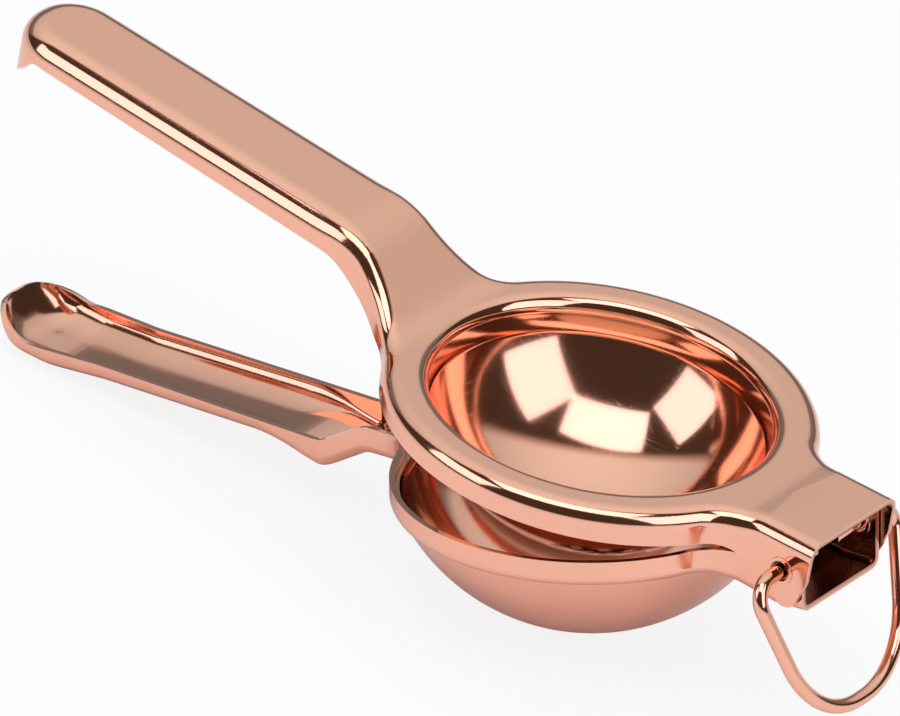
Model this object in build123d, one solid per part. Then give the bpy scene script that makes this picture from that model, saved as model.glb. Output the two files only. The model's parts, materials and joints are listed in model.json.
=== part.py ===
from build123d import *
import math
import os

# Hinged lemon squeezer. Two stamped sheet arms turn on a pair of hollow eyelets.
# The press arm carries a plain bowl, the strainer arm a perforated one, and a bent
# wire hanging loop swings in the eyelets.
#
# Working frame of the strainer arm, millimetres: x from the bowls towards the hinge,
# handles towards -x, y across, z up from the flat base of the strainer bowl.
# The press arm is drawn closed, with both ring plates level, then turned open.
# The finished assembly is tipped back onto its strainer base and lower handle.

# Sheet, wire and fits
arm_sheet = 1.2
bowl_sheet = 0.8
wire_diameter = 3.0
running_clearance = 0.05
seat_clearance = 0.02
ear_gap = 0.35

# Reach of construction bodies, beyond every piece
far = 200.0

# Rings: the press arm's outer edge, the strainer ring's step inside it
press_ring_radius = 44.0
press_ring_width = 7.1
ring_step = 3.7

# Strainer bowl: depth from its base to the foot of its band
strainer_depth = 23.7
strainer_base_radius = 13.4
strainer_base_corner = 2.0
strainer_band = 2.2
hole_diameter = 3.7
outer_hole_circle = 10.5
outer_holes = 8
inner_hole_circle = 4.6
inner_holes = 4

# Strainer arm: heights from the underside of its ring plate, the neck's reach from the
# ring's edge, then each run along the handle from the place before
strainer_seat = 1.4
strainer_wall = 5.7
strainer_corner = 2.4
strainer_neck_radius = 7.0
strainer_hinge_radius = 10.0
neck_reach = 9.7
neck_half_width = 8.2
neck_wall = 6.2
neck_rim_run = 3.5
neck_bend_radius = 5.0
ring_rim_reach = 1.7
ring_rim_radius = 2.5
trough_head_run = 8.5
trough_head_half_width = 11.4
trough_head_drop = 4.4
trough_head_rim = 2.0
trough_knee_run = 7.5
trough_knee_drop = 2.5
trough_shank_run = 48.0
trough_shank_half_width = 10.6
trough_shank_rim = 4.0
trough_end_run = 13.0
trough_end_half_width = 11.7
trough_end_drop = 1.2
trough_tip_run = 15.4
trough_end_corner = 10.0
trough_side_radius = 19.0
trough_bend_radius = 28.0
spoon_run = 5.0
spoon_rise = 2.0
spoon_angle = 43.0
spoon_bend_radius = 9.5
spoon_rim = 4.7
spoon_rim_run = 10.4
spoon_rim_angle = 25.0

# Hinge: reach from the press ring's edge, rises from the strainer ring plate
pivot_reach = 11.0
pivot_rise = 5.4
hinge_width = 30.0
eyelet_wall = 1.0
eyelet_head_width = 0.9
eyelet_head = 0.45
eyelet_head_corner = 0.18

# Ears and floor of the strainer arm, measured from the pivot
floor_dip = 3.5
floor_dip_back = 17.0
floor_dip_end = 3.0
floor_dip_radius = 2.5
strainer_ear_rise = 5.3
strainer_ear_back = 5.0
strainer_ear_foot = 11.0
strainer_ear_corner = 4.0
strainer_ear_foot_radius = 2.0
strainer_front = 4.2

# Press arm, closed: ring plate above the pivot, flanges and rolled collar
press_plate_rise = 7.8
press_corner = 3.5
press_flange = 5.6
press_flange_hinge = 7.3
press_roll_radius = 2.25
press_collar = 2.4
press_neck_radius = 22.0
press_hinge_radius = 12.0

# Ears and top of the press arm, measured from the pivot
press_front = 6.2
press_ear_back = 11.5
press_ear_front = 2.5
press_ear_drop = 7.3
press_ear_corner = 3.0
joggle = 0.5
joggle_back = 11.0
joggle_end = 6.5
joggle_radius = 6.0

# Gooseneck and grip: heights from the ring plate, reaches from the ring's edge
grip_bend_reach = 11.8
grip_rise = 14.05
grip_slope = 5.3
grip_half_width = 11.6
grip_tip_reach = 101.0
grip_corner = 11.2
grip_flange = 5.6
grip_flange_reach = 16.0
grip_flange_bend = 7.0
grip_lip_run = 8.2
grip_lip_angle = 45.0
ramp_angle = 40.0
ramp_head_radius = 11.0
ramp_foot_radius = 6.0
ramp_flange = 3.0
ramp_flange_reach = 1.0
ring_flange_inset = 11.0
rest_opening = 11.6

# Press bowl
press_bowl_depth = 20.4
press_bowl_band = 1.8

# Hanging loop
loop_tip = 3.6
loop_half_width = 24.8
loop_reach = 32.5
loop_lean = 16.3
loop_shoulder_radius = 4.5
loop_bottom_radius = 19.2
loop_swing = 16.0
loop_end_chamfer = 0.3

# Derived sizes
strainer_ring_radius = press_ring_radius - ring_step
strainer_bowl_radius = strainer_ring_radius - arm_sheet - running_clearance
strainer_sphere_height = (strainer_depth**2 + strainer_bowl_radius**2
                          - strainer_base_radius**2) / (2 * strainer_depth)
strainer_sphere_radius = math.hypot(strainer_sphere_height, strainer_base_radius)
strainer_plate = strainer_depth - strainer_seat
strainer_rim = strainer_plate + strainer_wall
pivot_x = press_ring_radius + pivot_reach
pivot_height = strainer_plate + pivot_rise
press_plate = pivot_height + press_plate_rise
press_opening_radius = press_ring_radius - press_ring_width
collar_radius = press_opening_radius - press_roll_radius
collar_top = press_plate - press_roll_radius
press_bowl_radius = collar_radius - seat_clearance
grip_bend = press_ring_radius + grip_bend_reach
grip_tip = press_ring_radius + grip_tip_reach
neck_start = strainer_ring_radius + neck_reach
trough_head = neck_start + trough_head_run
trough_knee = trough_head + trough_knee_run
trough_shank = trough_knee + trough_shank_run
trough_end = trough_shank + trough_end_run
trough_tip = trough_end + trough_tip_run
strainer_ear_outside = hinge_width / 2 - arm_sheet - ear_gap
strainer_ear_inside = strainer_ear_outside - arm_sheet
eyelet_bore = wire_diameter / 2 + running_clearance
eyelet_radius = eyelet_bore + eyelet_wall


def slope(angle):
    """Rise per unit of run at an angle in degrees."""
    return math.tan(math.radians(angle))


def half_outline(points, radii):
    """Face inside a filleted line that starts on the x axis, mirrored across the axis."""
    line = FilletPolyline(*points, radius=radii)
    half = make_face(line + Polyline(points[-1], (points[-1][0], 0), points[0]))
    return half + mirror(half, Plane.XZ)


def arm_plan(half_handle, ring_radius, box_half_width, neck_radius, hinge_radius):
    """Plan outline of an arm: handle, ring and hinge box with filleted junctions."""
    box = Pos(far / 2, 0) * Rectangle(far, 2 * box_half_width)
    outline = Circle(ring_radius) + half_handle + box
    on_ring = [v for v in outline.vertices()
               if abs(math.hypot(v.X, v.Y) - ring_radius) < 1e-3]
    outline = fillet([v for v in on_ring if v.X < 0], neck_radius)
    on_ring = [v for v in outline.vertices()
               if v.X > 0 and abs(v.Y) - box_half_width < 1e-3
               and abs(math.hypot(v.X, v.Y) - ring_radius) < 1e-3]
    return fillet(on_ring, hinge_radius)


def side_block(face):
    """Solid of a side profile drawn in x and z, wide enough for any arm."""
    return extrude(Plane.XZ * face, far, both=True)


def side_face(points, radii, closing):
    """Face between a filleted side line and the straight lines of its closing points."""
    line = FilletPolyline(*points, radius=radii)
    return make_face(line + Polyline(points[-1], *closing, points[0]))


def form(plan, side, inset, corner, upward):
    """Arm form inset by a sheet, with the rounded edge where its plate meets its walls."""
    outline = offset(plan, -inset) if inset else plan
    profile = offset(side, -inset) if inset else side
    solid = extrude(outline, far) & side_block(profile)
    plates = [f for f in solid.faces() if upward * f.normal_at().Z > 0.1]
    edges = [e for f in plates for e in f.edges()]
    rim = [e for e in edges if sum(e.is_same(other) for other in edges) == 1]
    rim = [e for e in rim if e.center().X < far - 2 * arm_sheet]
    return fillet(rim, corner - inset)


def grip_top(x):
    """Height of the grip's top surface on the closed press arm."""
    return press_plate + grip_rise + slope(grip_slope) * (-x - grip_bend)


def press_side():
    """Side profile of the closed press arm: everything under its top surface."""
    foot = grip_bend - grip_rise / slope(ramp_angle)
    points = [
        (-far, grip_top(-far)),
        (-grip_bend, grip_top(-grip_bend)),
        (-foot, press_plate),
        (pivot_x - joggle_back, press_plate),
        (pivot_x - joggle_end, press_plate + joggle),
        (far, press_plate + joggle),
    ]
    radii = [ramp_head_radius, ramp_foot_radius, joggle_radius, joggle_radius]
    return side_face(points, radii, [(far, 0), (-far, 0)])


def press_trim():
    """Side profile that the press arm's flanges keep, down to their lower edge."""
    lip = grip_lip_run - grip_tip
    lip_foot = grip_top(lip) - grip_flange
    bend = -press_ring_radius - grip_flange_reach
    points = [
        (-far, lip_foot - slope(grip_lip_angle) * (far + lip)),
        (lip, lip_foot),
        (bend, grip_top(bend) - grip_flange_bend),
        (-press_ring_radius - ramp_flange_reach, press_plate - ramp_flange),
        (ring_flange_inset - press_ring_radius, press_plate - press_flange),
        (pivot_x - press_ear_back, press_plate - press_flange_hinge),
        (pivot_x + press_ear_front, pivot_height - press_ear_drop),
        (pivot_x + press_front, pivot_height + press_ear_front),
        (pivot_x + press_front, far),
    ]
    radii = [press_corner, ramp_head_radius, ramp_foot_radius, ramp_foot_radius,
             ramp_head_radius, press_ear_corner, press_ear_corner]
    return side_face(points, radii, [(-far, far)])


def upper_arm():
    """Press arm, closed: flanged sheet with a rolled collar round the bowl opening."""
    grip_points = [(-grip_tip, 0), (-grip_tip, grip_half_width), (0, grip_half_width)]
    grip = half_outline(grip_points, [grip_corner])
    plan = arm_plan(grip, press_ring_radius, hinge_width / 2,
                    press_neck_radius, press_hinge_radius)
    side = press_side()
    arm = form(plan, side, 0, press_corner, 1) - form(plan, side, arm_sheet, press_corner, 1)
    arm &= side_block(press_trim())
    arm -= Pos(0, 0, press_plate) * Cylinder(press_opening_radius, 4 * arm_sheet)
    arm += press_collar_ring()
    return arm - hinge_holes(eyelet_radius + seat_clearance)


def press_collar_ring():
    """Edge of the bowl opening, rolled down through a quarter turn to a short collar."""
    centre = (press_opening_radius, collar_top)
    roll = Pos(*centre) * (Circle(press_roll_radius) - Circle(press_roll_radius - arm_sheet))
    corner = Pos(*centre) * Rectangle(
        press_roll_radius, press_roll_radius, align=(Align.MAX, Align.MIN))
    wall = Pos(collar_radius, collar_top) * Rectangle(
        arm_sheet, press_collar, align=(Align.MIN, Align.MAX))
    return revolve(Plane.XZ * ((roll & corner) + wall), Axis.Z)


def press_bowl():
    """Plain dished bowl, closed position, its band seated inside the collar."""
    inside = press_bowl_radius - bowl_sheet
    sphere = (inside**2 + press_bowl_depth**2) / (2 * press_bowl_depth)
    foot = collar_top - press_bowl_band
    centre = foot - press_bowl_depth + sphere
    dish = Pos(0, centre) * (Circle(sphere + bowl_sheet) - Circle(sphere))
    dish &= Pos(0, foot) * Rectangle(far, far, align=(Align.MIN, Align.MAX))
    band = Pos(inside, foot) * Rectangle(
        bowl_sheet, press_bowl_band, align=(Align.MIN, Align.MIN))
    section = dish + band
    section &= Pos(0, foot) * Rectangle(press_bowl_radius, far, align=(Align.MIN, Align.CENTER))
    return revolve(Plane.XZ * section, Axis.Z)


def trough_floor():
    """Side profile of the strainer arm: everything above its underside."""
    spoon = strainer_plate - trough_end_drop + spoon_rise
    points = [
        (-far, spoon + slope(spoon_angle) * (far - trough_tip + spoon_run)),
        (spoon_run - trough_tip, spoon),
        (-trough_end, strainer_plate - trough_end_drop),
        (-trough_knee, strainer_plate - trough_knee_drop),
        (-trough_head, strainer_plate - trough_head_drop),
        (-neck_start, strainer_plate),
        (pivot_x - floor_dip_back, strainer_plate),
        (pivot_x - floor_dip_end, strainer_plate - floor_dip),
        (far, strainer_plate - floor_dip),
    ]
    radii = [spoon_bend_radius, trough_bend_radius, trough_bend_radius, neck_bend_radius,
             neck_bend_radius, floor_dip_radius, floor_dip_radius]
    return side_face(points, radii, [(far, far), (-far, far)])


def trough_trim():
    """Side profile that the strainer arm's walls keep, up to their rim and ears."""
    spoon = trough_tip - spoon_rim_run
    top = strainer_plate + neck_wall
    ear = pivot_height + strainer_ear_rise
    points = [
        (-far, strainer_plate + spoon_rim + slope(spoon_rim_angle) * (far - spoon)),
        (-spoon, strainer_plate + spoon_rim),
        (-trough_shank, strainer_plate + trough_shank_rim),
        (-trough_head, strainer_plate + trough_head_rim),
        (-neck_start, top),
        (neck_rim_run - neck_start, top),
        (-strainer_ring_radius - ring_rim_reach, strainer_rim),
        (pivot_x - strainer_ear_foot, strainer_rim),
        (pivot_x - strainer_ear_back, ear),
        (pivot_x + strainer_front, ear),
        (pivot_x + strainer_front, 0),
    ]
    radii = [spoon_bend_radius, spoon_bend_radius, neck_bend_radius, neck_bend_radius,
             ring_rim_radius, ring_rim_radius, strainer_ear_foot_radius,
             strainer_ear_foot_radius, strainer_ear_corner]
    return side_face(points, radii, [(-far, 0)])


def lower_arm():
    """Strainer arm: a trough handle, a neck, a ring pan and two inner ears."""
    line = [
        (-trough_tip, 0),
        (-trough_tip, trough_end_half_width),
        (-trough_end, trough_end_half_width),
        (-trough_shank, trough_shank_half_width),
        (-trough_head, trough_head_half_width),
        (-neck_start, neck_half_width),
        (0, neck_half_width),
    ]
    radii = [trough_end_corner, trough_side_radius, trough_side_radius,
             neck_bend_radius, neck_bend_radius]
    plan = arm_plan(half_outline(line, radii), strainer_ring_radius, strainer_ear_outside,
                    strainer_neck_radius, strainer_hinge_radius)
    side = trough_floor()
    arm = form(plan, side, 0, strainer_corner, -1) - form(
        plan, side, arm_sheet, strainer_corner, -1)
    arm &= side_block(trough_trim())
    seat = Pos(0, 0, strainer_sphere_height) * Sphere(strainer_sphere_radius + seat_clearance)
    seat &= Cylinder(strainer_bowl_radius + seat_clearance, far)
    arm -= seat
    return arm - hinge_holes(eyelet_radius + running_clearance)


def strainer_bowl():
    """Perforated dished bowl on a flat base, its band standing inside the ring wall."""
    outside = strainer_sphere_radius
    inside = outside - bowl_sheet
    reach = strainer_bowl_radius
    hollow = Pos(0, strainer_sphere_height) * Circle(inside)
    hollow &= Pos(0, bowl_sheet) * Rectangle(far, far, align=(Align.CENTER, Align.MIN))
    dish = Pos(0, strainer_sphere_height) * Circle(outside) - hollow
    dish &= Rectangle(reach, strainer_depth, align=(Align.MIN, Align.MIN))
    corners = [v for v in dish.vertices() if v.X > hole_diameter and v.Y < 2 * bowl_sheet]
    for corner in corners:
        raised = 0 if corner.Y > bowl_sheet / 2 else bowl_sheet
        near = dish.vertices().sort_by_distance(corner)[0]
        dish = fillet(near, strainer_base_corner + raised)
    band = Pos(reach - bowl_sheet, strainer_depth) * Rectangle(
        bowl_sheet, strainer_band, align=(Align.MIN, Align.MIN))
    bowl = revolve(Plane.XZ * (dish + band), Axis.Z)
    return bowl - drain_holes()


def drain_holes():
    """Round holes through the flat base, in an outer and an inner circle."""
    punch = Cylinder(hole_diameter / 2, 4 * bowl_sheet)
    holes = PolarLocations(outer_hole_circle, outer_holes).locations
    holes += PolarLocations(inner_hole_circle, inner_holes).locations
    return Part() + [place * punch for place in holes]


def hinge_holes(radius):
    """Bore of the hinge across both ears of an arm."""
    bore = Cylinder(radius, 2 * hinge_width, rotation=(90, 0, 0))
    return Pos(pivot_x, 0, pivot_height) * bore


def eyelet(side):
    """Hollow eyelet through a press ear and a strainer ear, headed at both ends."""
    inner = strainer_ear_inside - running_clearance
    outer = hinge_width / 2 + seat_clearance
    wall = Pos(eyelet_bore, inner) * Rectangle(
        eyelet_wall, outer - inner, align=(Align.MIN, Align.MIN))
    head = Rectangle(eyelet_wall + eyelet_head_width, eyelet_head,
                     align=(Align.MIN, Align.MIN))
    section = wall + Pos(eyelet_bore, outer) * head
    section += Pos(eyelet_bore, inner - eyelet_head) * head
    ring = revolve(section, Axis.Y)
    outside = [e for e in ring.edges() if e.geom_type == GeomType.CIRCLE
               and (e.center().Y > outer + seat_clearance or e.center().Y < inner - seat_clearance)]
    ring = fillet(outside, eyelet_head_corner)
    ring = Pos(pivot_x, 0, pivot_height) * ring
    return ring if side > 0 else mirror(ring, Plane.XZ)


def hanging_loop():
    """Bent wire loop, hanging from the hinge axis and swung outwards."""
    foot = loop_half_width - loop_reach * math.tan(math.radians(loop_lean))
    half = [(loop_tip, 0), (loop_half_width, 0), (foot, -loop_reach)]
    points = half + [(-y, z) for y, z in reversed(half)]
    radii = [loop_shoulder_radius, loop_bottom_radius, loop_bottom_radius, loop_shoulder_radius]
    path = Plane.YZ * FilletPolyline(*points, radius=radii)
    wire = sweep(Plane(path @ 0, z_dir=path % 0) * Circle(wire_diameter / 2), path)
    ends = [e for e in wire.edges() if abs(abs(e.center().Y) - loop_tip) < 1e-3]
    wire = chamfer(ends, loop_end_chamfer)
    return Pos(pivot_x, 0, pivot_height) * Rot(0, -loop_swing, 0) * wire


def opened(piece):
    """A piece of the closed press arm, turned open about the hinge axis."""
    centre = Pos(pivot_x, 0, pivot_height)
    return centre * Rot(0, rest_opening, 0) * centre.inverse() * piece


def lowest(piece, angle):
    """Lowest height of a piece after the assembly is tipped by an angle."""
    return (Rot(0, angle, 0) * piece).bounding_box().min.Z


def standing_angle(arm, bowl):
    """Angle at which the base's edge and the trough's underside stand level."""
    near, far_off = -25.0, 0.0
    for step in range(18):
        middle = (near + far_off) / 2
        if lowest(arm, middle) < lowest(bowl, middle):
            near = middle
        else:
            far_off = middle
    return (near + far_off) / 2


def main():
    """Build every piece, stand the assembly up and write one file per piece."""
    arm = lower_arm()
    bowl = strainer_bowl()
    pieces = {
        "lower_arm": arm,
        "strainer_bowl": bowl,
        "upper_arm": opened(upper_arm()),
        "press_bowl": opened(press_bowl()),
        "pivot_eyelet_left": eyelet(-1),
        "pivot_eyelet_right": eyelet(1),
        "hanging_loop": hanging_loop(),
    }
    tilt = Rot(0, standing_angle(arm, bowl), 0)
    boxes = [(tilt * piece).bounding_box() for piece in pieces.values()]
    low = min(box.min.Z for box in boxes)
    middle = (min(box.min.X for box in boxes) + max(box.max.X for box in boxes)) / 2
    stand = Pos(-middle, 0, -low) * tilt
    os.makedirs("parts", exist_ok=True)
    for name, piece in pieces.items():
        export_step(stand * piece, f"parts/{name}.step")
    hinge = stand * Pos(pivot_x, 0, pivot_height)
    base = stand * Pos(0, 0, 0)
    print("tilt", tilt.orientation.Y)
    print("hinge", tuple(hinge.position))
    print("base", tuple(base.position))


main()
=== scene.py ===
"""Hinged lemon squeezer in copper plate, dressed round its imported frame."""

import bisect
import json
import logging
import math
from dataclasses import dataclass
from enum import Enum
from typing import Callable, Sequence

import bmesh
import bpy
from mathutils import Matrix, Vector

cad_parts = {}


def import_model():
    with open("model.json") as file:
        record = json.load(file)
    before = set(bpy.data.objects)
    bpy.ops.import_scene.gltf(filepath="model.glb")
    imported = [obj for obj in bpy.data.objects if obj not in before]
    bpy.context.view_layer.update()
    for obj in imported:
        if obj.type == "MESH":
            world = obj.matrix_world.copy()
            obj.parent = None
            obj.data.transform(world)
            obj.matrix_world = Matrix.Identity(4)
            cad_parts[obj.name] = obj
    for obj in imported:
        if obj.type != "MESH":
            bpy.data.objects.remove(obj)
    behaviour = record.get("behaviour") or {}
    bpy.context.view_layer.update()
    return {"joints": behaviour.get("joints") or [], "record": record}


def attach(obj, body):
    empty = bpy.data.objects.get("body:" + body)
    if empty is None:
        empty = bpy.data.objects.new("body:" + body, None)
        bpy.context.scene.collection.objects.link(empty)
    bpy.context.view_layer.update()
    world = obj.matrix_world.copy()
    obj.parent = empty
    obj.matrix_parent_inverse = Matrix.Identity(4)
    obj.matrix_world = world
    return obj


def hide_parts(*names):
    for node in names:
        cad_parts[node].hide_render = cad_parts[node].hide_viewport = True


LOG = logging.getLogger("lemon_squeezer")
Point = tuple[float, float]
Piece = bpy.types.Object
MM = 0.001
TINY = 1e-6
LEAST = 1e-9
HALVINGS = 30

# Hinge in the strainer arm's frame, in millimetres; the camera's aim from it, in metres
HINGE_REACH = 55.0
HINGE_HEIGHT = 27.7
REST_OPENING = math.radians(11.6)
AIM_FROM_HINGE = Vector((-0.0912204, 0.000525, -0.0001527))

# Sizes that each bowl shares with its arm, in millimetres
PRESS_PLATE = 35.5
PRESS_OPENING = 37.55
PRESS_ROLL = 2.9
STRAINER_RING = 40.3

# Meshes, in millimetres
PUNCH_SIDES = 48
TURNED_STEPS = 180
DISH_STEP = 1.2
BEND_STEP = 0.3
RAW_ANGLE = math.radians(42)
CREASE_ANGLE = math.radians(60)
FACE_WEIGHT = 80
ROW_WELD = 0.004
MIRROR_WELD = 0.001
SLIVER = 1e-4

# Colours and the plate's marks
WHITE = (1.0, 1.0, 1.0, 1.0)
ROSE = (0.940, 0.485, 0.325)
COLOUR_RESULT = 2
NOISE_ROUGHNESS = 0.55
SCRATCH_WAYS = ((0.35, (1.0, 40.0, 40.0)), (-0.8, (40.0, 1.0, 40.0)))
SCRATCH_SCALE = 70.0
SCRATCH_NONE = 0.66
SCRATCH_FULL = 0.74
# Painted shade on the arms' inner side: full between the ears, light in the trough
BOX_FROM = 44.0
TROUGH_TO = -46.0
TROUGH_SHADE = 0.15
POCKET_BLEND = 4.0
WALL_EDGE = 0.5
WALL_FULL = 0.2


# ---------------------------------------------------------------- shader maths


def operator(kind: str, swapped: bool = False) -> Callable[["Socket", object], "Socket"]:
    """Return a method that adds one Math node.

    Args:
        kind: the Math node's operation.
        swapped: whether the other value comes first.

    Returns:
        The method, which takes a socket or a number.
    """
    def method(self: "Socket", other: object) -> "Socket":
        """Return the node's value."""
        first, second = (other, self) if swapped else (self, other)
        return self.graph.node("Math", {0: first, 1: second}, operation=kind)

    return method


class Socket:
    """An output socket that takes part in Python arithmetic."""

    def __init__(self, graph: "Graph", output: bpy.types.NodeSocket) -> None:
        """Keep the socket and the graph that grows from it."""
        self.graph = graph
        self.output = output

    __add__ = operator("ADD")
    __radd__ = operator("ADD", swapped=True)
    __sub__ = operator("SUBTRACT")
    __rsub__ = operator("SUBTRACT", swapped=True)
    __mul__ = operator("MULTIPLY")
    __rmul__ = operator("MULTIPLY", swapped=True)
    larger = operator("MAXIMUM")

    def clamp(self) -> "Socket":
        """Return the value held between 0 and 1."""
        return self.graph.node("Clamp", {"Value": self})

    def step(self, sharpness: float) -> "Socket":
        """Return 0 below zero and 1 above it, with a soft edge."""
        return (self * sharpness + 0.5).clamp()


class Graph:
    """A node tree that is grown by one method."""

    def __init__(self, owner: bpy.types.ID) -> None:
        """Empty and keep the node tree of a material or a world."""
        owner.use_nodes = True
        self.tree = owner.node_tree
        self.tree.nodes.clear()

    def node(self, kind: str, inputs: dict[object, object], output: object = 0,
             **settings: object) -> Socket:
        """Add a node, set it up and feed its sockets.

        Args:
            kind: the node's type name without its prefix.
            inputs: socket name or index to a Socket, a number or a tuple.
            output: name or index of the output that is returned.
            settings: attributes set before the sockets.

        Returns:
            The chosen output as a Socket.
        """
        made = self.tree.nodes.new("ShaderNode" + kind)
        for name, value in settings.items():
            setattr(made, name, value)
        for key, value in inputs.items():
            if isinstance(value, Socket):
                self.tree.links.new(value.output, made.inputs[key])
            else:
                made.inputs[key].default_value = value
        return Socket(self, made.outputs[output]) if len(made.outputs) else None

    def mix(self, share: object, first: object, second: object) -> Socket:
        """Return the colour between first and second at a share."""
        return self.node("Mix", {"Factor": share, "A": first, "B": second}, COLOUR_RESULT,
                         data_type="RGBA")

    def noise(self, place: Socket, scale: float, detail: float = 2.0) -> Socket:
        """Return a noise value.

        Args:
            place: coordinates in metres.
            scale: noise scale, per metre.
            detail: octaves.
        """
        return self.node("TexNoise", {
            "Vector": place, "Scale": scale, "Detail": detail, "Roughness": NOISE_ROUGHNESS,
        })

    def mark(self, name: str) -> Socket:
        """Return the value that is painted on the piece under a name."""
        return self.node("Attribute", {}, "Fac", attribute_name=name)


# ------------------------------------------------------------------- finishes


class Slot(Enum):
    """Material slots of the record."""

    ARM = "copper_arm"
    BOWL = "copper_bowl"
    EYELET = "copper_eyelet"
    WIRE = "copper_wire"


@dataclass(frozen=True)
class CopperPlate:
    """Polished copper plate on pressed steel.

    Args:
        slot: the slot that the material is for, and its name.
        colour: reflected colour, face on.
        polish: roughness of a clean patch.
        haze: roughness that smudges and wipe marks add.
        scratch: strength of the fine polishing scratches.
        ripple: strength of the slight waviness that pressing leaves.
        smudges, clouds, grains, streaks: scale of each noise, per metre.
        smudge_share, grain_share, line_share: how much each adds to the haze.
        cloud_gain, cloud_cut: contrast of the duller clouds.
        line_height, streak_height: relief of scratches and streaks beside the grain's.
        wear: share of the colour that is left in its duller clouds.
        recess_shade: colour of the painted shade in recesses, a near-black brown that stands in for
            the shade falling there.
        pocket_shade_share: how far the painted shade covers the recesses.
        pocket_rough: roughness that the recesses add.
        drawn_rough: roughness of drawn walls, beyond a clean patch.
        streak_rough: roughness that their fine upright streaks add.
        draw_stretch: how the streaks run; small along them.
        ripple_height: height of the waviness in millimetres.
        scratch_height: depth of the scratches in millimetres.
    """

    slot: Slot
    colour: tuple[float, float, float]
    polish: float
    haze: float
    scratch: float
    ripple: float
    smudges: float = 28.0
    clouds: float = 9.0
    grains: float = 2600.0
    streaks: float = 2400.0
    smudge_share: float = 1.6
    grain_share: float = 0.35
    line_share: float = 0.5
    cloud_gain: float = 1.4
    cloud_cut: float = 0.2
    line_height: float = 1.5
    streak_height: float = 0.7
    wear: tuple[float, float, float] = (0.97, 0.955, 0.93)
    recess_shade: tuple[float, float, float, float] = (0.02, 0.012, 0.01, 1.0)
    pocket_shade_share: float = 0.62
    pocket_rough: float = 0.10
    drawn_rough: float = 0.02
    streak_rough: float = 0.09
    draw_stretch: tuple[float, float, float] = (1.0, 1.0, 0.03)
    ripple_height: float = 0.3
    scratch_height: float = 0.004

    def build(self) -> bpy.types.Material:
        """Return the finished material."""
        material = bpy.data.materials.new(self.slot.value)
        graph = Graph(material)
        place = graph.node("TexCoord", {}, "Object")
        smudge = graph.noise(place, self.smudges, detail=3.0)
        cloud = graph.noise(place, self.clouds)
        grain = graph.noise(place, self.grains)
        lines = self._scratches(graph, place)
        haze = smudge * smudge * self.smudge_share + grain * self.grain_share
        rough = self.polish + self.haze * haze
        # The first mark below is painted shade in recesses: it darkens the colour there and adds
        # roughness.
        pocket_shade = graph.mark("pocket_shade")
        drawn = graph.mark("drawn")
        upright = graph.node("Mapping", {
            "Vector": place, "Scale": self.draw_stretch,
        })
        streak = graph.noise(upright, self.streaks)
        rough = rough + lines * self.haze * self.line_share + pocket_shade * self.pocket_rough
        rough = (rough + drawn * (streak * self.streak_rough + self.drawn_rough)).clamp()
        worn = tuple(part * share for part, share in zip(self.colour, self.wear))
        dull = (cloud * self.cloud_gain - self.cloud_cut).clamp()
        tint = graph.mix(dull, (*self.colour, 1.0), (*worn, 1.0))
        # Painted shade: the recesses' colour is darkened towards a near-black brown.
        tint = graph.mix(pocket_shade * self.pocket_shade_share, tint, self.recess_shade)
        height = grain + lines * self.line_height + drawn * streak * self.streak_height
        relief = graph.node("Bump", {
            "Strength": self.ripple, "Distance": self.ripple_height * MM, "Height": cloud,
        })
        relief = graph.node("Bump", {
            "Strength": self.scratch, "Distance": self.scratch_height * MM,
            "Height": height, "Normal": relief,
        })
        shader = graph.node("BsdfPrincipled", {
            "Base Color": tint, "Metallic": 1.0, "Roughness": rough, "Normal": relief,
        })
        graph.node("OutputMaterial", {"Surface": shader})
        return material

    @staticmethod
    def _scratches(graph: Graph, place: Socket) -> Socket:
        """Return a mask of sparse hairline scratches in two directions.

        Args:
            graph: the material's graph.
            place: coordinates.
        """
        masks = []
        for turn, stretch in SCRATCH_WAYS:
            turned = graph.node("Mapping", {
                "Vector": place, "Rotation": (0.0, 0.0, turn), "Scale": stretch,
            })
            streak = graph.node("TexNoise", {
                "Vector": turned, "Scale": SCRATCH_SCALE, "Detail": 2.0,
            })
            masks.append(graph.node("MapRange", {
                "Value": streak, "From Min": SCRATCH_NONE, "From Max": SCRATCH_FULL,
            }))
        return (masks[0] + masks[1]).clamp()


def finishes() -> dict[Slot, bpy.types.Material]:
    """Return one material for each slot."""
    plates = (
        CopperPlate(Slot.ARM, ROSE, polish=0.055, haze=0.06, scratch=0.30, ripple=0.07),
        CopperPlate(Slot.BOWL, ROSE, polish=0.065, haze=0.07, scratch=0.45, ripple=0.08),
        CopperPlate(Slot.EYELET, ROSE, polish=0.07, haze=0.06, scratch=0.10, ripple=0.05),
        CopperPlate(Slot.WIRE, ROSE, polish=0.06, haze=0.06, scratch=0.12, ripple=0.04),
    )
    return {plate.slot: plate.build() for plate in plates}


# ------------------------------------------------------------- plane geometry


@dataclass(frozen=True)
class Mark:
    """A point of an outline: place, heading in radians and distance run."""

    x: float
    y: float
    heading: float
    run: float

    @property
    def normal(self) -> Point:
        """Unit vector to the left of the heading."""
        return -math.sin(self.heading), math.cos(self.heading)


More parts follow.
